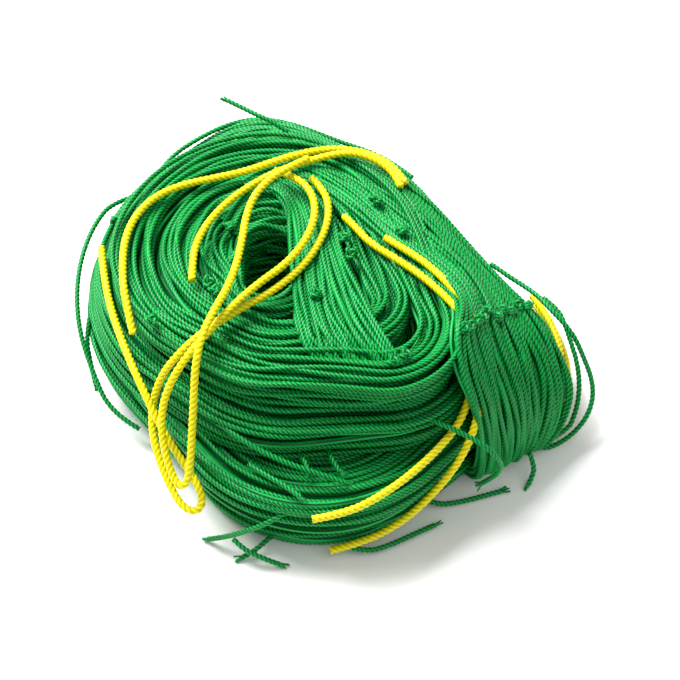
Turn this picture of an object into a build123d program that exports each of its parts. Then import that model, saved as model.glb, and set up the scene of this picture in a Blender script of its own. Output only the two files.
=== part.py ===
"""Hank of knotted climbing net: green three-ply twine wound in turns, with yellow header cord.

Millimetres, +Z up.  The origin is on the surface that the hank rests on, under the middle of
its overall box.
Each bundle of twine is one soft solid of the space that its strands fill.  The turns are wound
round pegs (x, y, radius), listed anticlockwise, and stacked in four levels.
"""

import os
from math import acos, atan2, cos, degrees, hypot, pi, radians, sin, tan

from build123d import *

# Twine, cord and knots
twine_d = 1.3
cord_d = 1.8
knot_d = 3.2

# Bundles of twine
bundle_w = 9.6
bundle_h = 9.2
bundle_round = 3.6
top_inner_w = 8.0
wrap_d = 6.6
gap = 0.3

# Eye of the hank: a slot that all four levels leave open
eye_x = -14.0
eye_y = 1.9
eye_r = 6.2
eye_reach = 8.0

# Pegs of each level's outer turn, at the back left, the front and the right
low_places = ((-14, 8.9), (-3, -20.1), (35, -5.1))
bottom_radii = (39, 31, 14)
lower_radii = (42, 33, 14.5)
upper_places = ((-13, 7.9), (-9, -10.1), (11, -19.1))
upper_radii = (41, 30, 20)
top_places = ((-14, 4.9), (-11, -8.1), (10, -17.1))
top_radii = (35, 26, 18.5)

# Right-hand peg of each level's inner turn, and the middle of the core beside the eye
low_inner_right = (21, -6.1)
upper_inner_right = (6, -12.1)
top_inner_right = (4, -10.1)
low_core = (9, -5.1)
upper_core = (6, -5.1)
core_reach = 11.0

# Heights at which the levels start, and the top of the stack
lower_z = bundle_h + gap
upper_z = 2 * lower_z
top_z = 3 * lower_z
crown_z = top_z + bundle_h
wrap_low = upper_z + wrap_d / 2
wrap_high = top_z + wrap_d / 2

# Arcs: how far a tube's bends reach along its runs, and how the wraps' arcs are stepped.
arc_share = 0.45
arc_step = 20.0
outer_arc_start = 58
middle_arc_start = 46
wall_share = 0.42


def pegs(places, sizes):
    return [(x, y, r) for (x, y), r in zip(places, sizes)]


def shrunk(around, by):
    return [(x, y, r - by) for x, y, r in around]


def polar(centre, radius, angle):
    return (centre[0] + radius * cos(radians(angle)), centre[1] + radius * sin(radians(angle)))


def supports(around, point):
    """How far the belt's outline lies beyond the point, in each direction round it."""
    for angle in range(0, 360, 2):
        nx, ny = polar((0, 0), 1, angle)
        yield max(x * nx + y * ny + r for x, y, r in around) - point[0] * nx - point[1] * ny


def room(around, point):
    """Radius of the largest circle at the point that stays inside the belt's outline."""
    return min(supports(around, point))


def clear(around, point):
    """Radius of the largest circle at the point that stays outside the belt's outline."""
    return -min(supports(around, point))


def belt(around):
    """Draw the outline of a belt run round the pegs, as arcs and tangent lines."""
    count = len(around)
    leaving = []
    for i in range(count):
        x1, y1, r1 = around[i]
        x2, y2, r2 = around[(i + 1) % count]
        along = atan2(y2 - y1, x2 - x1)
        leaving.append(degrees(along - acos((r1 - r2) / hypot(x2 - x1, y2 - y1))))
    for i in range(count):
        x1, y1, r1 = around[i]
        x2, y2, r2 = around[(i + 1) % count]
        start = leaving[i - 1]
        swept = (leaving[i] - start) % 360
        end = polar((x1, y1), r1, leaving[i])
        ThreePointArc(polar((x1, y1), r1, start), polar((x1, y1), r1, start + swept / 2), end)
        Line(end, polar((x2, y2), r2, leaving[i]))


def finish(part, name):
    part.label = name
    export_step(part, f"parts/{name}.step")


def bundle(name, outline, hole, wall, base):
    """One turn of the hank: a soft ring from its outline to its hole, with rounded edges."""
    with BuildPart() as ring:
        with BuildSketch(Plane.XY.offset(base)):
            with BuildLine():
                belt(outline)
            make_face()
        extrude(amount=bundle_h)
        if hole:
            with BuildSketch(Plane.XY.offset(base)):
                with BuildLine():
                    belt(hole)
                make_face()
            extrude(amount=bundle_h, mode=Mode.SUBTRACT)
        rims = ring.faces().filter_by(Axis.Z).edges()
        fillet(rims, min(bundle_round, wall_share * wall))
    finish(ring.part, name)


def corner_radii(points):
    """Each corner's arc, as large as its two runs allow."""
    radii = []
    for before, here, after in zip(points, points[1:], points[2:]):
        run_in = Vector(*here) - Vector(*before)
        run_out = Vector(*after) - Vector(*here)
        shorter = min(run_in.length, run_out.length)
        radii.append(arc_share * shorter / tan(radians(run_in.get_angle(run_out)) / 2))
    return radii


def tube(name, points, diameter):
    """A round tube along a route of straight runs joined by tangent arcs."""
    radii = corner_radii(points)
    with BuildPart() as strand:
        with BuildLine() as path:
            FilletPolyline(*points, radius=radii)
        with BuildSketch(Plane(path.line @ 0, z_dir=path.line % 0)):
            Circle(diameter / 2)
        sweep()
    length = sum(edge.length for edge in path.line.edges())
    share = strand.part.volume / (length * pi * diameter ** 2 / 4)
    print(name, "length", round(length, 1), "volume share", round(share, 3),
          "radii", [round(r, 1) for r in radii])
    finish(strand.part, name)


def knots(name, places):
    """A group of like knots, each a small ball of tucked twine lying on its bundle."""
    with BuildPart() as group:
        with Locations(*places):
            Sphere(knot_d / 2)
    finish(group.part, name)


os.makedirs("parts", exist_ok=True)

# ---- the four levels: outer turn, inner turn, turn round the eye, and the core beside it ----
inset = bundle_w + gap
eye = [(eye_x, eye_y + eye_reach / 2, eye_r), (eye_x, eye_y - eye_reach / 2, eye_r)]
levels = (
    ("bottom", 0, low_places, bottom_radii, low_inner_right, bundle_w, low_core),
    ("lower", lower_z, low_places, lower_radii, low_inner_right, bundle_w, low_core),
    ("upper", upper_z, upper_places, upper_radii, upper_inner_right, bundle_w, upper_core),
    ("top", top_z, top_places, top_radii, top_inner_right, top_inner_w, None),
)
for level, base, places, radii, right, inner_w, core in levels:
    outer = pegs(places, radii)
    bundle(f"{level}_turn_outer", outer, shrunk(outer, bundle_w), bundle_w, base)
    inner = shrunk(outer, inset)
    inner[-1] = (*right, room(inner, right))
    inside = shrunk(inner, inner_w)
    bundle(f"{level}_turn_inner", inner, inside, inner_w, base)
    around_eye = [(x, y, min(r + bundle_w, room(inside, (x, y)) - gap)) for x, y, r in eye]
    eye_wall = min(r for x, y, r in around_eye) - eye_r
    bundle(f"{level}_turn_eye", around_eye, eye, eye_wall, base)
    if core:
        ends = [(core[0], core[1] + dy) for dy in (core_reach / 2, -core_reach / 2)]
        core_r = min(min(room(inside, p), clear(around_eye, p)) for p in ends) - gap
        bundle(f"{level}_core", [(*p, core_r) for p in ends], None, 2 * core_r, base)

# ---- wraps: strands that come over the right-hand end and down to its tip ----
ring = (upper_radii[0] + gap + wrap_d / 2) / cos(radians(arc_step / 2))
outer_arc = [(*polar(upper_places[0], ring, outer_arc_start + i * arc_step), wrap_low)
             for i in (3, 2, 1, 0)]
tube("wrap_outer", outer_arc + [
    (22.8, 36.5, wrap_low), (32.5, 23.4, wrap_low), (41.5, 10.9, wrap_low), (47.2, -0.6, wrap_low),
    (48.9, -11.1, wrap_low), (48.7, -19.6, wrap_low - 0.5), (47.8, -24.7, wrap_low - 6),
    (47.2, -26, 9), (47, -26.3, 2)], wrap_d)
ring = (top_radii[0] + gap + wrap_d / 2) / cos(radians(arc_step / 2))
middle_arc = [(*polar(top_places[0], ring, middle_arc_start + i * arc_step), wrap_high)
              for i in (3, 2, 1, 0)]
tube("wrap_middle", middle_arc + [
    (21, 25.4, wrap_high - 0.9), (29, 15.4, wrap_high - 3.4), (36, 4.9, wrap_low + 1.4),
    (40.4, -5.6, wrap_low + 0.1), (41.6, -15.1, wrap_low), (41.7, -22.6, wrap_low - 0.6),
    (41, -27.7, wrap_low - 6.5), (40.5, -29.1, 9), (40.3, -29.5, 2)], wrap_d)
tube("wrap_inner", [
    (25.4, 9.4, wrap_high + 0.2), (28.8, 0.9, wrap_high + 0.3), (32.8, -7.1, wrap_high - 2.2),
    (34.7, -15.1, wrap_low + 2.8), (35, -22.7, wrap_low + 0.9), (35.7, -30.3, wrap_low - 2.6),
    (35.6, -34.1, wrap_low - 9), (35.2, -35.1, 6), (35, -35.3, 2)], wrap_d)

# ---- knots of the mesh, in groups where they show on the hank ----
on_wrap = wrap_low + wrap_d / 2 + knot_d / 2 + 0.1
on_ledge = upper_z + bundle_h + knot_d / 2 + 0.1
on_crown = crown_z + knot_d / 2 + 0.1
knots("knots_right_row", [
    (38.4, -7.3, on_wrap + 1), (41.4, -8.5, on_wrap), (44.9, -8.9, on_wrap - 0.4),
    (48.4, -9.3, on_wrap), (43.5, -2.9, on_wrap - 1.7)])
knots("knots_left_band", [(-49.6, 19.9, on_ledge), (-38.7, -17.9, on_crown - 0.4)])
knots("knots_crown_left", [
    (-27, -6.7, on_crown), (-25.4, -10.5, on_crown), (-22.9, 9.1, on_crown)])
knots("knots_by_eye", [(2.4, 5.7, on_crown), (3.9, 0.9, on_crown), (-3.8, -10.7, on_crown)])
knots("knots_front_bight", [(12, -29.6, on_crown), (16, -27.7, on_crown)])
knots("knots_back_band", [(15.2, 7.8, on_crown), (9.6, 17.1, on_crown)])

# ---- single strands of the net that stand off the hank ----
low_rest = twine_d / 2 + 0.1
tube("strand_left_edge", [
    (-51.5, 31.4, 24), (-55.5, 23.9, 23.5), (-57.8, 15.9, 22), (-58.6, 7.4, 19.5),
    (-57.6, -1.6, 16), (-54.2, -10.3, 11.5), (-50, -18.1, 7)], twine_d)
tube("strand_back_edge", [
    (-39.8, 42.8, 26), (-30.5, 49.4, 28), (-22.3, 53.1, 29), (-15.2, 53.5, 29), (-8, 52.1, 28),
    (1.5, 47.8, 27), (8.6, 44.8, 26.8), (14.4, 40.6, 26.8)], twine_d)
tube("loop_right_outer", [
    (39.2, 5.3, 27), (42.7, 2.7, 26.6), (45.8, -0.6, 26.8), (48.6, -5.2, 27),
    (53, -9.4, 24.6), (55.8, -12.2, 19), (57.9, -14.4, 14), (58.2, -16.9, 10),
    (56.7, -19.7, 7), (53.9, -21.9, 4.2), (50.3, -22.9, 1.4), (47.2, -23.6, 0.8)], twine_d)
tube("loop_right_inner", [
    (50.8, 1.5, 20), (52.2, -2, 18.8), (53.4, -5.6, 17), (54.7, -9.4, 14.8), (55.3, -13.2, 12),
    (54.9, -17, 9), (53.8, -19.6, 6.8), (52.9, -21.1, 5.3)], twine_d)

# ---- cut ends of the twine ----
tube("tail_front_left", [
    (-12.8, -52.6, 14), (-16.5, -52.4, 11), (-20.5, -51.4, 7.4), (-24.2, -49.8, 3.6),
    (-27.4, -48.3, 0.9)], twine_d)
tube("tail_front_under", [
    (-15.8, -51, 2.2), (-17.9, -52.5, 1.5), (-20.2, -53.3, low_rest)], twine_d)
tube("tail_front_middle", [
    (-19.2, -53.6, 4.6), (-16.6, -54.4, 3.6), (-14, -54.9, 2.4), (-11.2, -55.1, 0.9)], twine_d)
tube("tail_front_long", [
    (-19.8, -39.5, 25.6), (-14.8, -42.3, 24.4), (-9.2, -44.7, 23.4), (-3, -46.5, 22.4),
    (2.8, -47.9, 21)], twine_d)
tube("tail_trough_upper", [
    (-14, -45.7, 20.6), (-10.3, -48.1, 20.6), (-6.6, -51.1, 20.2)], twine_d)
tube("tail_trough_left", [(-6.5, -41.3, 21), (-5.6, -42.9, 21), (-5.2, -44.7, 20.4)], twine_d)
tube("tail_trough_right", [(-0.2, -41.5, 21.2), (0.6, -42.9, 20.6), (1.6, -44.5, 20.2)], twine_d)
tube("tail_front_frayed", [
    (7.2, -52.3, 1.6), (12.5, -50.3, 1.6), (17.5, -47.5, 1.5), (22.4, -44.7, 1.2)], 2 * low_rest)
tube("tail_right_floor", [
    (23, -39.6, 1.6), (27.2, -38.6, low_rest + 0.2), (32.3, -37, low_rest),
    (37.6, -35.2, low_rest + 0.1)], twine_d)
tube("tail_right_curl", [
    (23, -36.8, 27), (26, -37.2, 25.4), (29.2, -38.4, 24.4), (32.4, -39.8, 23.2),
    (35, -40.6, 20.4), (36.3, -40.5, 17.1), (35.3, -39.7, 12.4), (32.1, -38.5, 7.8)], twine_d)
tube("tail_right_tip", [
    (44.6, -30.9, 4.6), (44.4, -32.2, 2.4), (43.2, -33.8, low_rest)], twine_d)
tube("tail_left_side", [(-56.3, -1.1, 13.4), (-55.2, -6.3, 10.4), (-53.9, -10.6, 7.5)], twine_d)
tube("tail_back_top", [
    (-14.5, 44.7, 37), (-18, 46.5, 37.2), (-21.5, 48.6, 37.6), (-25, 50.3, 38.2)], twine_d)

# ---- yellow header cord: where it is wound along the hank, its loose bow and its ends ----
flat = crown_z + gap + cord_d / 2
tube("cord_left_long", [
    (-52.2, 10.9, 30.2), (-50.8, 0.4, 30.4), (-47.8, -11.1, 30.8), (-44.2, -21.1, 30.4),
    (-40.3, -29.4, 27.8), (-36.2, -35.7, 22.2), (-31.6, -41, 17.6), (-28.7, -44.5, 15),
    (-27.8, -47.3, 12.9), (-29.4, -49.3, 12.2), (-32.3, -48.3, 13), (-34.8, -44.5, 14.8),
    (-37.2, -39.9, 17.6), (-39, -34.3, 21.4), (-38.8, -29.5, 25.6), (-36.6, -27.1, 31.5),
    (-33.2, -26.1, flat - 2.2), (-29, -23.3, flat + 0.7), (-24.6, -19.7, flat + 1.1),
    (-19, -14.7, flat + 0.7), (-12.5, -9.7, flat + 0.4), (-6.3, -2.6, flat + 0.4),
    (-2.2, 5.9, flat + 0.4), (-0.8, 13.4, flat + 0.5), (-1.8, 19.5, flat + 0.7),
    (-5, 23.5, flat + 0.9)], cord_d)
tube("cord_bow", [
    (-5.6, 25.5, flat + 5.1), (-10.2, 22.5, flat + 5.1), (-14.4, 19.1, flat + 4.9),
    (-17.6, 14.5, flat + 4.4), (-19.2, 8.7, flat + 4), (-19.8, 2.1, flat + 3.9),
    (-20.8, -5.5, flat + 4), (-22.6, -13.1, flat + 4.7), (-25.2, -20.3, flat + 5.7),
    (-27.6, -26.5, flat + 4.8), (-28.8, -31.5, flat + 1.4), (-29.3, -35.7, 33.6),
    (-29.8, -39.5, 27.4), (-30.2, -43.1, 22.2), (-30.9, -45.7, 18.4), (-32.7, -46.1, 16.8),
    (-34.4, -43.7, 18.4), (-35.8, -40.3, 21.8), (-36.6, -36.7, 25.8), (-36, -33.1, 30.2),
    (-33.8, -30.7, 35.2), (-30.6, -27.9, flat + 0.2), (-26.6, -23.7, flat + 2.5),
    (-21.6, -16.7, flat + 3), (-16, -9.9, flat + 2.8), (-10, -4.1, flat + 2.7),
    (-5.8, 2.9, flat + 2.7), (-3.8, 10.4, flat + 2.8), (-4.6, 16.9, flat + 2.8),
    (-8, 21.7, flat + 2.8), (-13.2, 24.1, flat + 2.7)], cord_d)
tube("cord_left_arc", [
    (-43, -18.1, 34.6), (-45.1, -10.9, flat - 0.2), (-46, -2.7, flat + 0.1),
    (-46, 5.5, flat + 0.1), (-44, 12.7, flat + 0.2), (-39.8, 18.5, flat + 0.3),
    (-33.6, 22.1, flat + 0.3), (-26.4, 24.1, flat + 0.3), (-19.6, 26.1, flat + 0.4),
    (-12.6, 29.6, flat + 0.4), (-6.6, 32, flat + 0.4), (-0.4, 33.5, flat + 0.2),
    (5.2, 33.4, flat - 0.4), (9.5, 32.3, flat - 1.1), (12.9, 30.5, 37), (15.2, 27.6, 36.5),
    (16.4, 25.2, 36.3)], cord_d)
tube("cord_inner_arc", [
    (-30.6, -6.7, flat + 0.1), (-30.8, -0.1, flat + 0.1), (-29.8, 5.5, flat + 0.2),
    (-27.6, 10.9, flat + 0.1), (-24, 16.3, flat + 0.2), (-19.4, 21.1, flat + 0.2),
    (-14, 25.3, flat + 0.3), (-8.4, 28.1, flat + 0.5), (-2.8, 29.9, flat + 0.9),
    (1.6, 30.8, flat + 1.4), (5.4, 30.9, flat + 1.2), (9.4, 29.8, flat + 0.4),
    (12.5, 27.7, 38.6), (14.4, 25, 38.1), (15.2, 22.5, 37.9)], cord_d)
tube("cord_tail_upper", [
    (-4.3, -55, 17.8), (2.8, -54.5, 19.2), (10, -51.1, 20.6), (16.4, -46, 21.3),
    (22.6, -39.7, 22.2), (26.8, -34.6, 23.8), (29, -30.5, 26.4), (29.8, -26.7, 29.8),
    (30.2, -21.7, 34.8), (27.6, -16.3, flat + 0.1), (24.2, -11.3, flat + 0.1),
    (19.8, -5.9, flat + 0.1), (14.4, -0.9, flat + 0.1), (8, 4.3, flat + 0.1),
    (4.8, 9.3, flat + 0.1), (2.4, 12.4, flat + 0.1)], cord_d)
tube("cord_tail_lower", [
    (-0.7, -52.8, 3), (7, -51.3, 4.2), (14.9, -47.7, 6.4), (21, -44.5, 11.4),
    (26.2, -40.7, 16.6), (29.6, -36.5, 21.4), (31.4, -31.7, 25.6), (32, -27.1, 29.2),
    (32.2, -21.9, 32.8), (30.2, -15.7, 37.6), (26.4, -9.9, flat + 0.1), (22.3, -3.9, flat + 0.1),
    (17.2, 1.3, flat + 0.1), (11.4, 5.9, flat + 0.1)], cord_d)
tube("cord_right_upper", [
    (45.6, 9.5, 15.5), (49.2, 3.3, 15), (51, -3.9, 14.4), (51.3, -10.7, 13.6),
    (49.8, -16.7, 12.4), (46.8, -20.7, 11)], cord_d)
tube("cord_right_lower", [
    (46.6, 11.3, 10.5), (50.6, 4.7, 10), (53, -3.1, 9.4), (53.3, -10.7, 8.8),
    (51.8, -16.9, 7.8), (48.6, -20.9, 6.4)], cord_d)
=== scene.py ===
from math import ceil, cos, pi, radians, sin

import bpy
import numpy as np
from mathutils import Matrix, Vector


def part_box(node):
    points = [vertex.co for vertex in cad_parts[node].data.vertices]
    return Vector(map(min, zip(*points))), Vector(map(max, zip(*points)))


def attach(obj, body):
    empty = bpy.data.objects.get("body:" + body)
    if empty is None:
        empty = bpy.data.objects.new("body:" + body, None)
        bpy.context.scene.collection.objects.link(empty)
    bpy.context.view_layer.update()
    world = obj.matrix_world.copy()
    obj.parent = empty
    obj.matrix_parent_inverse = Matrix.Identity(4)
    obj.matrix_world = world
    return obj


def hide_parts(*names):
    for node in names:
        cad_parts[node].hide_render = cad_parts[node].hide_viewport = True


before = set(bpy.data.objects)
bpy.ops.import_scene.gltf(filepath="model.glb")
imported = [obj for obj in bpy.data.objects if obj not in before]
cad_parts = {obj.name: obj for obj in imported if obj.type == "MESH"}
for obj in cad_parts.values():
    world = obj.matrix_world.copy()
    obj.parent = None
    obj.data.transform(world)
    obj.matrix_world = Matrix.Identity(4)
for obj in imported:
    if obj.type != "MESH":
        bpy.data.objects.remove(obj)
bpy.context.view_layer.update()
bpy.ops.object.select_all(action="DESELECT")

# ---- Camera ----
# It looks at the middle of the hank from in front and fifty degrees up, at arm's length.
aim = Vector((0.0015, -0.0021, 0.0134))
view_height = radians(50)
view_distance = 0.5
bpy.ops.object.camera_add(
    location=aim + view_distance * Vector((0, -cos(view_height), sin(view_height))),
    rotation=(pi / 2 - view_height, 0, 0))
camera = bpy.context.object
camera.data.lens = 116.5
camera.data.clip_start = 0.01
bpy.context.scene.camera = camera

# ---- Yellow header cord ----
# Three-ply polyethylene cord, 1.8 mm thick, threaded along the edge of the net. It is wound in
# with the turns, comes out on top in a loose bow, and its ends lie over the front.
cord_d = 0.0018
cord_pitch = 0.0038
cord_step = 0.00035
flat = 0.0389
cord_routes = {
    "cord_left_long": [
        (-0.0522, 0.0109, 0.0302), (-0.0508, 0.0004, 0.0304), (-0.0478, -0.0111, 0.0308),
        (-0.0442, -0.0211, 0.0304), (-0.0403, -0.0294, 0.0278), (-0.0362, -0.0357, 0.0222),
        (-0.0316, -0.041, 0.0176), (-0.0287, -0.0445, 0.015), (-0.0278, -0.0473, 0.0129),
        (-0.0294, -0.0493, 0.0122), (-0.0323, -0.0483, 0.013), (-0.0348, -0.0445, 0.0148),
        (-0.0372, -0.0399, 0.0176), (-0.039, -0.0343, 0.0214), (-0.0388, -0.0295, 0.0256),
        (-0.0366, -0.0271, 0.0315), (-0.0332, -0.0261, flat - 0.0022),
        (-0.029, -0.0233, flat + 0.0007), (-0.0246, -0.0197, flat + 0.0011),
        (-0.019, -0.0147, flat + 0.0007), (-0.0125, -0.0097, flat + 0.0004),
        (-0.0063, -0.0026, flat + 0.0004), (-0.0022, 0.0059, flat + 0.0004),
        (-0.0008, 0.0134, flat + 0.0005), (-0.0018, 0.0195, flat + 0.0007),
        (-0.005, 0.0235, flat + 0.0009)],
    "cord_bow": [
        (-0.0056, 0.0255, flat + 0.0051), (-0.0102, 0.0225, flat + 0.0051),
        (-0.0144, 0.0191, flat + 0.0049), (-0.0176, 0.0145, flat + 0.0044),
        (-0.0192, 0.0087, flat + 0.004), (-0.0198, 0.0021, flat + 0.0039),
        (-0.0208, -0.0055, flat + 0.004), (-0.0226, -0.0131, flat + 0.0047),
        (-0.0252, -0.0203, flat + 0.0057), (-0.0276, -0.0265, flat + 0.0048),
        (-0.0288, -0.0315, flat + 0.0014), (-0.0293, -0.0357, 0.0336), (-0.0298, -0.0395, 0.0274),
        (-0.0302, -0.0431, 0.0222), (-0.0309, -0.0457, 0.0184), (-0.0327, -0.0461, 0.0168),
        (-0.0344, -0.0437, 0.0184), (-0.0358, -0.0403, 0.0218), (-0.0366, -0.0367, 0.0258),
        (-0.036, -0.0331, 0.0302), (-0.0338, -0.0307, 0.0352), (-0.0306, -0.0279, flat + 0.0002),
        (-0.0266, -0.0237, flat + 0.0025), (-0.0216, -0.0167, flat + 0.003),
        (-0.016, -0.0099, flat + 0.0028), (-0.01, -0.0041, flat + 0.0027),
        (-0.0058, 0.0029, flat + 0.0027), (-0.0038, 0.0104, flat + 0.0028),
        (-0.0046, 0.0169, flat + 0.0028), (-0.008, 0.0217, flat + 0.0028),
        (-0.0132, 0.0241, flat + 0.0027)],
    "cord_left_arc": [
        (-0.043, -0.0181, 0.0346), (-0.0451, -0.0109, flat - 0.0002),
        (-0.046, -0.0027, flat + 0.0001), (-0.046, 0.0055, flat + 0.0001),
        (-0.044, 0.0127, flat + 0.0002), (-0.0398, 0.0185, flat + 0.0003),
        (-0.0336, 0.0221, flat + 0.0003), (-0.0264, 0.0241, flat + 0.0003),
        (-0.0196, 0.0261, flat + 0.0004), (-0.0126, 0.0296, flat + 0.0004),
        (-0.0066, 0.032, flat + 0.0004), (-0.0004, 0.0335, flat + 0.0002),
        (0.0052, 0.0334, flat - 0.0004), (0.0095, 0.0323, flat - 0.0011), (0.0129, 0.0305, 0.037),
        (0.0152, 0.0276, 0.0365), (0.0164, 0.0252, 0.0363)],
    "cord_inner_arc": [
        (-0.0306, -0.0067, flat + 0.0001), (-0.0308, -0.0001, flat + 0.0001),
        (-0.0298, 0.0055, flat + 0.0002), (-0.0276, 0.0109, flat + 0.0001),
        (-0.024, 0.0163, flat + 0.0002), (-0.0194, 0.0211, flat + 0.0002),
        (-0.014, 0.0253, flat + 0.0003), (-0.0084, 0.0281, flat + 0.0005),
        (-0.0028, 0.0299, flat + 0.0009), (0.0016, 0.0308, flat + 0.0014),
        (0.0054, 0.0309, flat + 0.0012), (0.0094, 0.0298, flat + 0.0004), (0.0125, 0.0277, 0.0386),
        (0.0144, 0.025, 0.0381), (0.0152, 0.0225, 0.0379)],
    "cord_tail_upper": [
        (-0.0043, -0.055, 0.0178), (0.0028, -0.0545, 0.0192), (0.01, -0.0511, 0.0206),
        (0.0164, -0.046, 0.0213), (0.0226, -0.0397, 0.0222), (0.0268, -0.0346, 0.0238),
        (0.029, -0.0305, 0.0264), (0.0298, -0.0267, 0.0298), (0.0302, -0.0217, 0.0348),
        (0.0276, -0.0163, flat + 0.0001), (0.0242, -0.0113, flat + 0.0001),
        (0.0198, -0.0059, flat + 0.0001), (0.0144, -0.0009, flat + 0.0001),
        (0.008, 0.0043, flat + 0.0001), (0.0048, 0.0093, flat + 0.0001),
        (0.0024, 0.0124, flat + 0.0001)],
    "cord_tail_lower": [
        (-0.0007, -0.0528, 0.003), (0.007, -0.0513, 0.0042), (0.0149, -0.0477, 0.0064),
        (0.021, -0.0445, 0.0114), (0.0262, -0.0407, 0.0166), (0.0296, -0.0365, 0.0214),
        (0.0314, -0.0317, 0.0256), (0.032, -0.0271, 0.0292), (0.0322, -0.0219, 0.0328),
        (0.0302, -0.0157, 0.0376), (0.0264, -0.0099, flat + 0.0001), (0.0223, -0.0039, flat + 0.0001),
        (0.0172, 0.0013, flat + 0.0001), (0.0114, 0.0059, flat + 0.0001)],
    "cord_right_upper": [
        (0.0456, 0.0095, 0.0155), (0.0492, 0.0033, 0.015), (0.051, -0.0039, 0.0144),
        (0.0513, -0.0107, 0.0136), (0.0498, -0.0167, 0.0124), (0.0468, -0.0207, 0.011)],
    "cord_right_lower": [
        (0.0466, 0.0113, 0.0105), (0.0506, 0.0047, 0.01), (0.053, -0.0031, 0.0094),
        (0.0533, -0.0107, 0.0088), (0.0518, -0.0169, 0.0078), (0.0486, -0.0209, 0.0064)],
}


def smooth_line(name, route):
    """The route's own smooth line, as points close together."""
    curve = bpy.data.curves.new(name, "CURVE")
    curve.dimensions = "3D"
    curve.resolution_u = 24
    spline = curve.splines.new("NURBS")
    spline.points.add(len(route) - 1)
    for point, place in zip(spline.points, route):
        point.co = (*place, 1)
    spline.order_u = 3
    spline.use_endpoint_u = True
    holder = bpy.data.objects.new(name, curve)
    mesh = bpy.data.meshes.new_from_object(holder)
    line = np.array([v.co for v in mesh.vertices])
    bpy.data.objects.remove(holder)
    bpy.data.curves.remove(curve)
    bpy.data.meshes.remove(mesh)
    return line


def evenly(line, step, closed=False):
    """The same line with its points a step apart, or a little less, and its length."""
    if closed:
        line = np.vstack([line, line[:1]])
    along = np.concatenate([[0], np.cumsum(np.linalg.norm(np.diff(line, axis=0), axis=1))])
    count = max(4, ceil(along[-1] / step))
    where = np.linspace(0, along[-1], count + 1)
    if closed:
        where = where[:-1]
    return np.column_stack([np.interp(where, along, line[:, i]) for i in range(3)]), along[-1]


def sideways(points, closed):
    """At each point two directions across the line, which turn as little as they can."""
    if closed:
        ahead = np.roll(points, -1, axis=0) - np.roll(points, 1, axis=0)
    else:
        ahead = np.gradient(points, axis=0)
    ahead /= np.linalg.norm(ahead, axis=1)[:, None]
    if closed:
        across = np.cross(ahead, (0, 0, 1))
    else:
        across = np.empty_like(ahead)
        last = np.cross(ahead[0], (0.3, 0.2, 1))
        for i, direction in enumerate(ahead):
            last = last - direction * (last @ direction)
            last /= np.linalg.norm(last)
            across[i] = last
    across /= np.linalg.norm(across, axis=1)[:, None]
    return across, np.cross(across, ahead)


def twisted(name, lines, thick, pitch, step, closed=False, dip=0.26, columns=6, tints=None):
    """A piece of one or more strands, each of three plies twisted right-handed along its line.

    Each ply is a crest of the strand's section, and the crests climb round it as the twist does.
    """
    places, faces, marks, begun = [], [], [], 0
    for number, line in enumerate(lines):
        points, length = evenly(np.asarray(line), step, closed)
        across, up = sideways(points, closed)
        rings = len(points)
        turns = length / pitch
        if closed:
            turns = round(turns)
        share = np.arange(rings) / (rings if closed else rings - 1)
        column = np.arange(columns)
        angle = -2 * pi * turns * share[:, None] + 2 * pi * column / columns
        crest = 0.5 + 0.5 * np.cos(3 * 2 * pi * column / columns)
        reach = thick / 2 * (1 - dip * (1 - crest))
        ring = (points[:, None] + (reach * np.cos(angle))[..., None] * across[:, None]
                + (reach * np.sin(angle))[..., None] * up[:, None])
        places.append(ring.reshape(-1, 3))
        mark = np.empty((rings, columns, 3))
        mark[..., 0] = (share * length)[:, None] / pitch
        # The crest mark is also the mask for the painted shade that the material puts in the valleys
        # between the plies.
        mark[..., 1] = crest
        mark[..., 2] = tints[number] if tints is not None else 0.5
        marks.append(mark.reshape(-1, 3))
        this = begun + np.arange(rings if closed else rings - 1)[:, None] * columns
        after = begun + (np.arange(1, rings + 1 if closed else rings) % rings)[:, None] * columns
        beside = (column + 1) % columns
        quads = np.stack([this + column, after + column, after + beside, this + beside], axis=-1)
        faces.extend(quads.reshape(-1, 4).tolist())
        if not closed:
            faces.append((begun + column).tolist())
            faces.append((begun + (rings - 1) * columns + column[::-1]).tolist())
        begun += rings * columns
    mesh = bpy.data.meshes.new(name)
    mesh.from_pydata(np.concatenate(places).tolist(), [], faces)
    lay = mesh.attributes.new("lay", "FLOAT_VECTOR", "POINT")
    lay.data.foreach_set("vector", np.concatenate(marks).astype(np.float32).ravel())
    mesh.shade_smooth()
    piece = bpy.data.objects.new(name, mesh)
    bpy.context.collection.objects.link(piece)
    return piece


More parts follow.
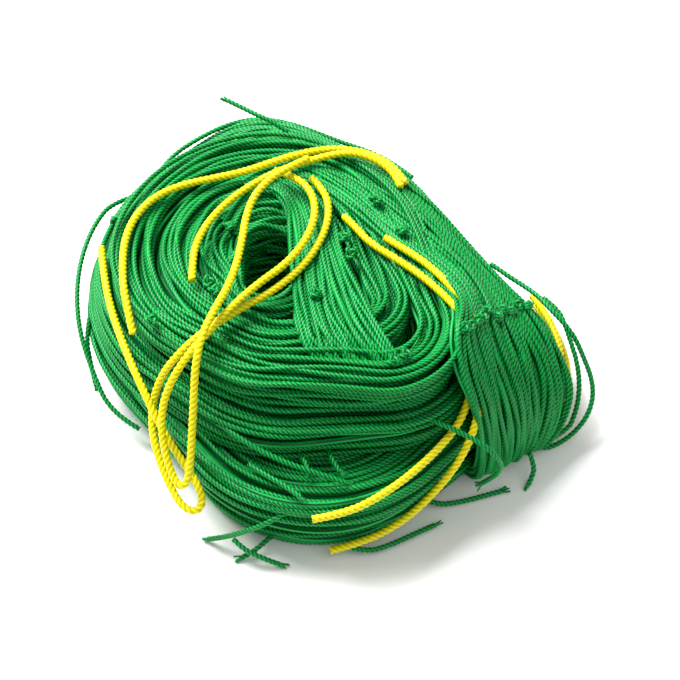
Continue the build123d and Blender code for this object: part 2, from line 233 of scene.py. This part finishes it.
def fibre_group():
    """Node group for twisted film twine: fibres along each ply, painted shade in the valleys between
    the plies, uneven dye.
    """
    group = bpy.data.node_groups.new("Twisted fibre", "ShaderNodeTree")
    face = group.interface
    for title in ("Crest", "Valley shade", "Worn"):
        face.new_socket(title, in_out="INPUT", socket_type="NodeSocketColor")
    face.new_socket("Fibres", in_out="INPUT", socket_type="NodeSocketFloat")
    face.new_socket("Colour", in_out="OUTPUT", socket_type="NodeSocketColor")
    face.new_socket("Roughness", in_out="OUTPUT", socket_type="NodeSocketFloat")
    face.new_socket("Height", in_out="OUTPUT", socket_type="NodeSocketFloat")
    make, join = group.nodes.new, group.links.new
    given, result = make("NodeGroupInput"), make("NodeGroupOutput")
    lay = make("ShaderNodeAttribute")
    lay.attribute_name = "lay"
    part = make("ShaderNodeSeparateXYZ")
    join(lay.outputs["Vector"], part.inputs[0])
    place = make("ShaderNodeTexCoord")
    cloud = make("ShaderNodeTexNoise")
    cloud.inputs["Scale"].default_value = 90
    cloud.inputs["Detail"].default_value = 3
    join(place.outputs["Object"], cloud.inputs["Vector"])
    fibre = make("ShaderNodeTexNoise")
    fibre.inputs["Detail"].default_value = 4
    join(place.outputs["Object"], fibre.inputs["Vector"])
    join(given.outputs["Fibres"], fibre.inputs["Scale"])
    # Painted shade: the crest mark mixes the dye (Crest) towards a much darker valley colour, so the
    # valleys between the plies are painted dark.
    ply = make("ShaderNodeMapRange")
    ply.interpolation_type = "SMOOTHSTEP"
    ply.inputs["From Min"].default_value = 0.05
    ply.inputs["From Max"].default_value = 0.75
    join(part.outputs["Y"], ply.inputs["Value"])
    body = make("ShaderNodeMix")
    body.data_type = "RGBA"
    join(ply.outputs["Result"], body.inputs["Factor"])
    join(given.outputs["Valley shade"], body.inputs["A"])
    join(given.outputs["Crest"], body.inputs["B"])
    patch = make("ShaderNodeMath")
    patch.operation = "MULTIPLY_ADD"
    join(cloud.outputs["Fac"], patch.inputs[0])
    patch.inputs[1].default_value = 0.9
    join(part.outputs["Z"], patch.inputs[2])
    worn_share = make("ShaderNodeMapRange")
    worn_share.inputs["From Min"].default_value = 0.55
    worn_share.inputs["From Max"].default_value = 1.35
    worn_share.inputs["To Max"].default_value = 0.75
    join(patch.outputs["Value"], worn_share.inputs["Value"])
    tone = make("ShaderNodeMix")
    tone.data_type = "RGBA"
    join(worn_share.outputs["Result"], tone.inputs["Factor"])
    join(body.outputs["Result"], tone.inputs["A"])
    worn = make("ShaderNodeMix")
    worn.data_type = "RGBA"
    worn.blend_type = "MULTIPLY"
    worn.inputs["Factor"].default_value = 1
    join(body.outputs["Result"], worn.inputs["A"])
    join(given.outputs["Worn"], worn.inputs["B"])
    join(worn.outputs["Result"], tone.inputs["B"])
    join(tone.outputs["Result"], result.inputs["Colour"])
    gloss = make("ShaderNodeMapRange")
    gloss.inputs["To Min"].default_value = 0.32
    gloss.inputs["To Max"].default_value = 0.52
    join(fibre.outputs["Fac"], gloss.inputs["Value"])
    join(gloss.outputs["Result"], result.inputs["Roughness"])
    join(fibre.outputs["Fac"], result.inputs["Height"])
    return group


fibre = fibre_group()


def twine_material(name, crest, valley_shade, worn, gloss, fibres):
    """Twisted polyethylene in one dye, with painted shade in the valleys between its plies: satin,
    with gloss along the crests of the plies.
    """
    material = bpy.data.materials.new(name)
    material.use_nodes = True
    nodes, join = material.node_tree.nodes, material.node_tree.links.new
    shader = nodes["Principled BSDF"]
    strand = nodes.new("ShaderNodeGroup")
    strand.node_tree = fibre
    strand.inputs["Crest"].default_value = (*crest, 1)
    strand.inputs["Valley shade"].default_value = (*valley_shade, 1)
    strand.inputs["Worn"].default_value = (*worn, 1)
    strand.inputs["Fibres"].default_value = fibres
    bump = nodes.new("ShaderNodeBump")
    bump.inputs["Strength"].default_value = 0.35
    bump.inputs["Distance"].default_value = 0.00012
    join(strand.outputs["Colour"], shader.inputs["Base Color"])
    join(strand.outputs["Roughness"], shader.inputs["Roughness"])
    join(strand.outputs["Height"], bump.inputs["Height"])
    join(bump.outputs["Normal"], shader.inputs["Normal"])
    shader.inputs["Specular IOR Level"].default_value = 0.35
    shader.inputs["Specular Tint"].default_value = (*gloss, 1)
    return material


# The yellow valley colour is painted shade between the plies.
yellow = twine_material("yellow_cord", (0.78, 0.75, 0.0), (0.58, 0.46, 0.0), (0.95, 0.9, 0.7),
                        (1, 1, 0.7), 2600)


def finish_piece(piece, material, slot, *nodes):
    """The last steps of every piece: its material, its body and the node it stands for. The slot is
    not used.
    """
    piece.data.materials.append(material)
    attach(piece, "root")
    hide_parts(*nodes)


for node, route in cord_routes.items():
    line = smooth_line(node, route)
    piece = twisted(f"{node}_twist", [line], cord_d, cord_pitch, cord_step, columns=12, dip=0.2)
    finish_piece(piece, yellow, "yellow_cord", node)

# ---- Single strands and cut ends ----
# The same green twine as the net, 1.3 mm thick. A few strands stand off the hank in loose loops,
# and cut ends stick out round the foot, where the net was trimmed with scissors.
twine_d = 0.0013
twine_pitch = 0.0031
twine_step = 0.0004
fibre_d = 0.00042
low_rest = twine_d / 2 + 0.0001
strand_routes = {
    "strand_left_edge": [
        (-0.0515, 0.0314, 0.024), (-0.0555, 0.0239, 0.0235), (-0.0578, 0.0159, 0.022),
        (-0.0586, 0.0074, 0.0195), (-0.0576, -0.0016, 0.016), (-0.0542, -0.0103, 0.0115),
        (-0.05, -0.0181, 0.007)],
    "strand_back_edge": [
        (-0.0398, 0.0428, 0.026), (-0.0305, 0.0494, 0.028), (-0.0223, 0.0531, 0.029),
        (-0.0152, 0.0535, 0.029), (-0.008, 0.0521, 0.028), (0.0015, 0.0478, 0.027),
        (0.0086, 0.0448, 0.0268), (0.0144, 0.0406, 0.0268)],
    "loop_right_outer": [
        (0.0392, 0.0053, 0.027), (0.0427, 0.0027, 0.0266), (0.0458, -0.0006, 0.0268),
        (0.0486, -0.0052, 0.027), (0.053, -0.0094, 0.0246), (0.0558, -0.0122, 0.019),
        (0.0579, -0.0144, 0.014), (0.0582, -0.0169, 0.01), (0.0567, -0.0197, 0.007),
        (0.0539, -0.0219, 0.0042), (0.0503, -0.0229, 0.0014), (0.0472, -0.0236, 0.0008)],
    "loop_right_inner": [
        (0.0508, 0.0015, 0.02), (0.0522, -0.002, 0.0188), (0.0534, -0.0056, 0.017),
        (0.0547, -0.0094, 0.0148), (0.0553, -0.0132, 0.012), (0.0549, -0.017, 0.009),
        (0.0538, -0.0196, 0.0068), (0.0529, -0.0211, 0.0053)],
    "tail_front_left": [
        (-0.0128, -0.0526, 0.014), (-0.0165, -0.0524, 0.011), (-0.0205, -0.0514, 0.0074),
        (-0.0242, -0.0498, 0.0036), (-0.0274, -0.0483, 0.0009)],
    "tail_front_under": [
        (-0.0158, -0.051, 0.0022), (-0.0179, -0.0525, 0.0015), (-0.0202, -0.0533, low_rest)],
    "tail_front_middle": [
        (-0.0192, -0.0536, 0.0046), (-0.0166, -0.0544, 0.0036), (-0.014, -0.0549, 0.0024),
        (-0.0112, -0.0551, 0.0009)],
    "tail_front_long": [
        (-0.0198, -0.0395, 0.0256), (-0.0148, -0.0423, 0.0244), (-0.0092, -0.0447, 0.0234),
        (-0.003, -0.0465, 0.0224), (0.0028, -0.0479, 0.021)],
    "tail_trough_upper": [
        (-0.014, -0.0457, 0.0206), (-0.0103, -0.0481, 0.0206), (-0.0066, -0.0511, 0.0202)],
    "tail_trough_left": [
        (-0.0065, -0.0413, 0.021), (-0.0056, -0.0429, 0.021), (-0.0052, -0.0447, 0.0204)],
    "tail_trough_right": [
        (-0.0002, -0.0415, 0.0212), (0.0006, -0.0429, 0.0206), (0.0016, -0.0445, 0.0202)],
    "tail_front_frayed": [
        (0.0072, -0.0523, 0.0016), (0.0125, -0.0503, 0.0016), (0.0175, -0.0475, 0.0015),
        (0.0224, -0.0447, 0.0012)],
    "tail_right_floor": [
        (0.023, -0.0396, 0.0016), (0.0272, -0.0386, low_rest + 0.0002), (0.0323, -0.037, low_rest),
        (0.0376, -0.0352, low_rest + 0.0001)],
    "tail_right_curl": [
        (0.023, -0.0368, 0.027), (0.026, -0.0372, 0.0254), (0.0292, -0.0384, 0.0244),
        (0.0324, -0.0398, 0.0232), (0.035, -0.0406, 0.0204), (0.0363, -0.0405, 0.0171),
        (0.0353, -0.0397, 0.0124), (0.0321, -0.0385, 0.0078)],
    "tail_right_tip": [
        (0.0446, -0.0309, 0.0046), (0.0444, -0.0322, 0.0024), (0.0432, -0.0338, low_rest)],
    "tail_left_side": [
        (-0.0563, -0.0011, 0.0134), (-0.0552, -0.0063, 0.0104), (-0.0539, -0.0106, 0.0075)],
    "tail_back_top": [
        (-0.0145, 0.0447, 0.037), (-0.018, 0.0465, 0.0372), (-0.0215, 0.0486, 0.0376),
        (-0.025, 0.0503, 0.0382)],
}
# A strand comes out of the hank from a place a little way inside it, and the four that aren't cut
# go back into it at another.
from_inside = {
    "strand_left_edge": (-0.0435, 0.0355, 0.0225), "strand_back_edge": (-0.0425, 0.0375, 0.0235),
    "loop_right_outer": (0.0355, 0.0085, 0.0275), "loop_right_inner": (0.0475, 0.0045, 0.0205),
    "tail_front_left": (-0.0085, -0.0505, 0.0155), "tail_front_under": (-0.0135, -0.049, 0.0028),
    "tail_front_middle": (-0.0215, -0.0515, 0.0055), "tail_front_long": (-0.0245, -0.0355, 0.0256),
    "tail_trough_upper": (-0.018, -0.0425, 0.0205), "tail_trough_left": (-0.0075, -0.0385, 0.0205),
    "tail_trough_right": (-0.0012, -0.0385, 0.0208), "tail_front_frayed": (0.002, -0.0515, 0.003),
    "tail_right_floor": (0.0195, -0.0385, 0.0025), "tail_right_curl": (0.0195, -0.0345, 0.0265),
    "tail_right_tip": (0.0435, -0.029, 0.0065), "tail_left_side": (-0.0555, 0.0035, 0.0155),
    "tail_back_top": (-0.0105, 0.0425, 0.0355)}
into_hank = {
    "strand_left_edge": (-0.0435, -0.0215, 0.0055), "strand_back_edge": (0.0185, 0.0365, 0.0265),
    "loop_right_outer": (0.0425, -0.0225, 0.0012), "loop_right_inner": (0.0495, -0.0225, 0.0035)}
# A pitch so long that a strand of this size has no twist.
straight = 1


def frayed(line, fibres=7):
    """Short loose fibres that spread from a cut end, along the line's last run."""
    ahead = line[-1] - line[-4]
    ahead /= np.linalg.norm(ahead)
    ends = []
    for _ in range(fibres):
        aside = chance.normal(0, fibre_d, 3)
        root = line[-1] - ahead * 0.0005 + aside * 0.35
        tip = line[-1] + ahead * chance.uniform(0.0006, 0.0013) + aside
        for place in (root, tip):
            place[2] = max(place[2], 0.0003)
        ends.append(np.linspace(root, tip, 4))
    return ends


def joined(name, made):
    """The parts that were made, as one piece."""
    bpy.ops.object.select_all(action="DESELECT")
    for part in made:
        part.select_set(True)
    bpy.context.view_layer.objects.active = made[0]
    if len(made) > 1:
        bpy.ops.object.join()
    made[0].name = name
    return made[0]


# The green valley colour, near black, is painted shade between the plies.
green = twine_material("green_twine", (0.002, 0.34, 0.058), (0.0, 0.035, 0.007), (0.4, 0.75, 0.5),
                       (0.5, 1, 0.65), 3600)
chance = np.random.default_rng(41)
for node, route in strand_routes.items():
    loose = node not in into_hank
    route = [from_inside[node], *route, *([] if loose else [into_hank[node]])]
    line = smooth_line(node, route)
    made = [twisted(f"{node}_run", [line], twine_d, twine_pitch, twine_step,
                    tints=[chance.uniform(0, 0.5)])]
    if loose:
        fibres = frayed(line)
        made.append(twisted(f"{node}_fray", fibres, fibre_d, straight, 0.0005, dip=0,
                            tints=[0.1] * len(fibres)))
    piece = joined(f"{node}_twist", made)
    finish_piece(piece, green, "green_twine", node)

# ---- Turns of the hank ----
# Four levels of turns, each wound round the eye: an outer turn, an inner turn and a turn at the
# eye. The net was gathered and wound by hand, so its strands drift, cross and leave gaps.
bundle_w = 0.0096
bundle_h = 0.0092
level_step = 0.0095
gap = 0.0003
eye = np.array([(-0.014, 0.0059, 0.0062), (-0.014, -0.0021, 0.0062)])
low_places = ((-0.014, 0.0089), (-0.003, -0.0201), (0.035, -0.0051))
upper_places = ((-0.013, 0.0079), (-0.009, -0.0101), (0.011, -0.0191))
top_places = ((-0.014, 0.0049), (-0.011, -0.0081), (0.01, -0.0171))
levels = {
    "bottom": (low_places, (0.039, 0.031, 0.014), (0.021, -0.0061), bundle_w),
    "lower": (low_places, (0.042, 0.033, 0.0145), (0.021, -0.0061), bundle_w),
    "upper": (upper_places, (0.041, 0.030, 0.020), (0.006, -0.0121), bundle_w),
    "top": (top_places, (0.035, 0.026, 0.0185), (0.004, -0.0101), 0.008)}
directions = np.linspace(0, 2 * pi, 721)[:-1]
outward = np.column_stack([np.cos(directions), np.sin(directions)])
stations = 480
seen_step = 0.00046
hidden_step = 0.0028
layer_step = 0.0011


def reach_of(pegs):
    """How far a belt run round the pegs (x, y, radius) reaches in each direction."""
    return pegs[:, :2] @ outward.T + pegs[:, 2:]


def belt(pegs):
    """Points evenly round a belt on the pegs, from the same side each time."""
    reach = reach_of(pegs)
    tight = reach.argmax(axis=0)
    edge = pegs[tight, :2] + pegs[tight, 2:] * outward
    ring = np.vstack([edge, edge[:1]])
    along = np.concatenate([[0], np.cumsum(np.linalg.norm(np.diff(ring, axis=0), axis=1))])
    where = np.linspace(0, along[-1], stations + 1)[:-1]
    return np.column_stack([np.interp(where, along, ring[:, i]) for i in range(2)])


def room(pegs, x, y):
    """Radius of the largest circle at the place that stays inside the belt."""
    return (reach_of(pegs).max(axis=0) - outward @ (x, y)).min()


def shrunk(pegs, by):
    """The same pegs with smaller radii."""
    return pegs - (0, 0, by)


rings = {}
for level, (places, sizes, inner_place, inner_w) in levels.items():
    outer = np.array([(*place, size) for place, size in zip(places, sizes)])
    inner = shrunk(outer, bundle_w + gap)
    inner[-1] = (*inner_place, room(inner, *inner_place))
    inside = shrunk(inner, inner_w)
    round_eye = np.array([(x, y, min(radius + bundle_w, room(inside, x, y) - gap))
                          for x, y, radius in eye])
    rings[f"{level}_turn_outer"] = (outer, shrunk(outer, bundle_w))
    rings[f"{level}_turn_inner"] = (inner, inside)
    rings[f"{level}_turn_eye"] = (round_eye, eye)


def drift(size, lap, waves=6):
    """A slow uneven wander along a strand, which ends a full lap where it began."""
    number = np.arange(1, waves + 1)[:, None]
    amount = chance.normal(0, 1, (waves, 1)) / number ** 0.7
    begin = chance.uniform(0, 2 * pi, (waves, 1))
    return size * (amount * np.cos(number * lap + begin)).sum(axis=0)


full_lap = np.linspace(0, 2 * pi, stations, endpoint=False)


def wound(ring, lane, height, wander=0.085, bob=0.0005):
    """One strand's closed line: in a lane from the hole (0) to the outline (1) of its ring."""
    outer, inner = ring
    lane = np.clip(lane + drift(wander, full_lap), -0.03, 1.08)
    steps = np.linspace(0, 1, 9)
    belts = np.stack([belt(inner + (outer - inner) * step) for step in steps])
    at = np.clip(lane, 0, 1) * (len(steps) - 1)
    low = np.minimum(at.astype(int), len(steps) - 2)
    part = (at - low)[:, None]
    station = np.arange(stations)
    flat_line = belts[low, station] * (1 - part) + belts[low + 1, station] * part
    return np.column_stack([flat_line, height + drift(bob, full_lap)])


def plait(name, groups, *nodes):
    """A bundle of groups of strands (lines, closed, seen): those inside only fill it, untwisted."""
    made = []
    for lines, closed, seen in groups:
        if lines:
            pitch, step, dip = (twine_pitch, seen_step, 0.3) if seen else (straight, hidden_step, 0.1)
            made.append(twisted(f"{name}_{len(made)}", lines, twine_d, pitch, step, closed, dip=dip,
                                tints=chance.uniform(0, 0.6, len(lines))))
    piece = joined(name, made)
    finish_piece(piece, green, "green_twine", *nodes)


# Each guide is a line along a band of strands. The first guides lie at the outer edge of the band
# over the right-hand end, the second at the right-hand edge of a fan that comes out of the eye and
# dives under the front turns.
band_guides = 0.001 * np.array([
    [(-40, 46.5, 22), (-31, 52, 25), (-22.5, 54.5, 27.5), (-15, 53, 29), (-8, 49.5, 30),
     (-1, 44.5, 31.5), (4.5, 39, 33), (9.5, 34, 34), (15, 27.5, 34.5), (21, 22.5, 33.5),
     (27, 16, 31.5), (33, 9, 29), (38.5, 3, 27), (44, -2, 25), (48.5, -7, 22.5),
     (51.5, -11, 19), (53.5, -16.5, 15), (52.5, -20.5, 10.5), (50, -23.5, 6),
     (46.5, -24.5, 2.5), (42, -21.5, 1.2)],
    [(-34, 33, 28), (-27, 39, 30), (-20, 42, 32), (-13.5, 42, 33.5), (-7, 39, 34.5),
     (-1, 35, 35), (4, 30.5, 36), (9, 25.5, 36), (14.5, 20, 36), (20, 14.5, 35.5),
     (25.5, 8, 34.5), (30.5, 2, 33), (34.5, -3.5, 31.5), (38, -8, 30), (40.5, -13, 28),
     (43, -18, 25), (44.5, -22.5, 20), (45, -25.5, 13.5), (44, -27, 7), (42, -27, 2.5),
     (38, -23, 1.2)],
    [(-28, 20.5, 33), (-23.5, 26.5, 34.5), (-18, 31.5, 35.5), (-12, 32, 36.5),
     (-6.5, 30.5, 37), (-1, 27.5, 37), (3.5, 23.5, 37), (8, 18.5, 37), (13.5, 12.5, 37),
     (19, 6.5, 37), (24.5, 1, 37), (28.5, -4.5, 37), (31, -10, 36.5), (32, -15, 36),
     (33, -20, 34.5), (34.5, -25, 31), (36.5, -29, 25.5), (38, -31, 18), (38.5, -31.5, 9),
     (37.5, -30.5, 2.5), (34, -26, 1.2)],
    [(-22.5, 10, 36.5), (-20.5, 17, 37), (-16, 23, 37), (-11, 25.5, 37), (-6, 25, 37.5),
     (-1, 22, 37.5), (3, 17.5, 38), (7.5, 12, 38), (12.5, 5.5, 38), (18, 0, 38.5),
     (23, -5.5, 39), (26.5, -10, 40), (27.5, -15.5, 40.5), (26.5, -21, 41), (26.5, -26, 39),
     (28, -30.5, 35), (30.5, -33.5, 29), (32, -35, 20), (32.5, -35, 10), (31.5, -34, 2.5),
     (29, -29, 1.2)]])
fan_guides = 0.001 * np.array([
    [(-16, 26, 37), (-11, 27, 37.2), (-5.5, 23, 37.5), (-1, 15.5, 37.6), (1.5, 6.5, 37.8),
     (4, -4, 38.2), (7.5, -14.5, 38.4), (11, -22, 38.4), (14, -26.5, 37.4), (17, -29, 35),
     (20, -30.5, 32)],
    [(-20, 23.5, 36.8), (-15, 26, 37.2), (-9.5, 23, 37.5), (-6, 15.5, 37.6), (-4, 5, 37.7),
     (-2.5, -6, 38), (-0.5, -16, 38.4), (2, -22.5, 38.4), (4.5, -26.5, 37.6), (7, -29, 35.5),
     (9.5, -31, 33)],
    [(-23, 19.5, 36.5), (-18.5, 23.5, 37), (-13, 22.5, 37.4), (-10, 16, 37.5),
     (-9.5, 6.5, 37.6), (-9, -4, 37.8), (-8.5, -14, 38.2), (-7, -21.5, 38.2),
     (-5, -25.5, 37.6), (-3, -28, 35.5), (-1, -30, 33)]])


def laid(guides, share, depth, wander=0.03, bob=0.0003):
    """One strand's open line: at a share of the way across the guides, and that deep under them."""
    lines = np.stack([smooth_line("guide", guide) for guide in guides])
    count = lines.shape[1]
    lap = np.linspace(0, 1.6 * pi, count)
    across = np.clip(share + drift(wander, lap), 0, 1) * (len(guides) - 1)
    low = np.minimum(across.astype(int), len(guides) - 2)
    part = (across - low)[:, None]
    station = np.arange(count)
    near, far = lines[low, station], lines[low + 1, station]
    line = near * (1 - part) + far * part
    inward = np.cross(np.gradient(line, axis=0), far - near)
    inward /= np.linalg.norm(inward, axis=1)[:, None]
    line = line + inward * (depth + drift(bob, lap))[:, None]
    line[:, 2] = np.maximum(line[:, 2], low_rest)
    return line


def layers_of(guides, first, last, across, layers):
    """Groups of strands laid side by side from one share of the guides to another, in layers."""
    fine, coarse = [], []
    for layer in range(layers):
        for i in range(across):
            share = first + (last - first) * (i + 0.25 + 0.5 * (layer % 2)) / across
            share += chance.uniform(-0.35, 0.35) * (last - first) / across
            (fine if layer < 2 else coarse).append(laid(guides, share, layer * layer_step))
    return [(fine, False, True), (coarse, False, False)]


rows = 7
lanes_across = 7
row_step = (bundle_h - twine_d) / (rows - 1)
# For each ring: how many rows show from the top, and how many lanes from outside and the hole.
shown = {
    "bottom_turn_outer": (0, 1, 0), "bottom_turn_inner": (0, 0, 0), "bottom_turn_eye": (0, 0, 1),
    "lower_turn_outer": (1, 1, 0), "lower_turn_inner": (2, 0, 0), "lower_turn_eye": (0, 0, 1),
    "upper_turn_outer": (2, 1, 0), "upper_turn_inner": (0, 0, 0), "upper_turn_eye": (0, 0, 1),
    "top_turn_outer": (2, 2, 0), "top_turn_inner": (3, 0, 0), "top_turn_eye": (2, 0, 2)}
# These rings lie under the fan, and have sunk a little.
sunk = {"top_turn_eye": 0.0016, "top_turn_inner": 0.0007}
for number, level in enumerate(levels):
    for which in ("outer", "inner", "eye"):
        node = f"{level}_turn_{which}"
        fine, coarse = [], []
        top_rows, outside, hole_side = shown[node]
        for row in range(rows):
            height = number * level_step + bundle_h - twine_d / 2 - row * row_step
            if node in sunk:
                height -= sunk[node] * (1 - row / rows)
            for lane in range(lanes_across):
                share = (lane + 0.5 + 0.5 * (row % 2)) / (lanes_across + 0.5)
                share += chance.uniform(-0.05, 0.05)
                seen = row < top_rows or lane >= lanes_across - outside or lane < hole_side
                line = wound(rings[node], share, height + chance.uniform(-0.0004, 0.0004))
                line[:, 2] = np.maximum(line[:, 2], low_rest)
                (fine if seen else coarse).append(line)
        groups = [(fine, True, True), (coarse, True, False)]
        if node == "top_turn_eye":
            groups += layers_of(fan_guides, 0, 1, 17, 3)
        plait(f"{node}_strands", groups, node)

# ---- Cores beside the eye ----
# Bights of the same twine, pushed down between the eye and the inner turns, where they fill the
# space. Only a few of their strands show.
low_core = (0.009, -0.0051)
upper_core = (0.006, -0.0051)
for level, place in (("bottom", low_core), ("lower", low_core), ("upper", upper_core)):
    low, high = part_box(f"{level}_core")
    radius = (high.x - low.x) / 2
    half = (high.y - low.y) / 2 - radius
    around = np.array([(*place, 0)]) + [(0, half, radius), (0, -half, radius)]
    ring = (around, shrunk(around, radius - gap))
    fine = [wound(ring, lane / 4, high.z - twine_d / 2) for lane in range(1, 5)]
    coarse = [wound(ring, lane / 4, high.z - row * row_step)
              for lane in range(1, 5) for row in range(1, 6)]
    plait(f"{level}_core_strands", [(fine, True, True), (coarse, True, False)], f"{level}_core")

# ---- Wraps over the right-hand end ----
# The strands of the last turns run over the others in a band, from the back over the right-hand
# end, where they turn down and tuck in at the tip.
wrap_shares = {"outer": (0.03, 0.36, 13), "middle": (0.36, 0.7, 13), "inner": (0.7, 1, 12)}
for name, (first, last, across) in wrap_shares.items():
    plait(f"wrap_{name}_strands", layers_of(band_guides, first, last, across, 3), f"wrap_{name}")

# ---- Knots ----
# Where two strands of the net cross they are tied in a small tight knot. It is a loop of twine
# tucked through itself, and its lie is different each time.
knot_d = 0.0032
knot_turn = np.linspace(0, 2 * pi, 90, endpoint=False)
knot_line = np.column_stack([np.sin(knot_turn) + 2 * np.sin(2 * knot_turn),
                             np.cos(knot_turn) - 2 * np.cos(2 * knot_turn),
                             -1.1 * np.sin(3 * knot_turn)]) * 0.0004


def tied(centre):
    """One knot's line at its place, turned by chance."""
    turn, tilt = chance.uniform(0, 2 * pi), chance.uniform(-0.7, 0.7)
    x, y, z = knot_line.T
    y, z = y * cos(tilt) - z * sin(tilt), y * sin(tilt) + z * cos(tilt)
    x, y = x * cos(turn) - y * sin(turn), x * sin(turn) + y * cos(turn)
    return np.column_stack([x, y, z]) + centre


def islands(node):
    """The middles of a node's separate knots."""
    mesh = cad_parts[node].data
    places = np.array([v.co for v in mesh.vertices])
    middles = []
    for place in places:
        if not any(np.linalg.norm(place - m) < knot_d * 0.75 for m in middles):
            near = places[np.linalg.norm(places - place, axis=1) < knot_d * 1.01]
            middles.append((near.min(axis=0) + near.max(axis=0)) / 2)
    return middles


row_at = 0.655
row_places = []
for share in np.linspace(0.1, 0.98, 10):
    line = laid(band_guides, share + chance.uniform(-0.04, 0.02), -0.0006, 0, 0)
    row_places.append(line[round((row_at + chance.uniform(-0.018, 0.018)) * len(line))])
for node in sorted(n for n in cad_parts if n.startswith("knots_")):
    lines = [tied(middle) for middle in (row_places if node == "knots_right_row" else islands(node))]
    piece = twisted(f"{node}_tied", lines, twine_d * 0.9, twine_pitch, twine_step, closed=True,
                    tints=chance.uniform(0, 0.6, len(lines)))
    finish_piece(piece, green, "green_twine", node)

# ---- Floor and light ----
# A white sheet of paper under the hank, a strong soft lamp from the back left, and a weak one that
# fills the shadows at the front right.
bpy.ops.mesh.primitive_plane_add(size=6, location=(0, 0, 0))
floor = bpy.context.object
floor.name = "floor"
paper = bpy.data.materials.new("white_paper")
paper.use_nodes = True
matt = paper.node_tree.nodes["Principled BSDF"]
matt.inputs["Base Color"].default_value = (0.93, 0.93, 0.92, 1)
matt.inputs["Roughness"].default_value = 0.8
floor.data.materials.append(paper)

world = bpy.data.worlds.new("studio")
bpy.context.scene.world = world
world.use_nodes = True
sky = world.node_tree.nodes["Background"]
sky.inputs["Color"].default_value = (1, 1, 1, 1)
sky.inputs["Strength"].default_value = 0.5
lamps = (((-0.45, 0.4, 0.85), 0.6, 26), ((0.5, -0.5, 0.9), 0.9, 2.5))
for place, size, power in lamps:
    bpy.ops.object.light_add(type="AREA", location=place)
    lamp = bpy.context.object
    lamp.data.size = size
    lamp.data.energy = power
    lamp.rotation_euler = (aim - Vector(place)).to_track_quat("-Z", "Y").to_euler()
bpy.context.scene.view_settings.view_transform = "Standard"
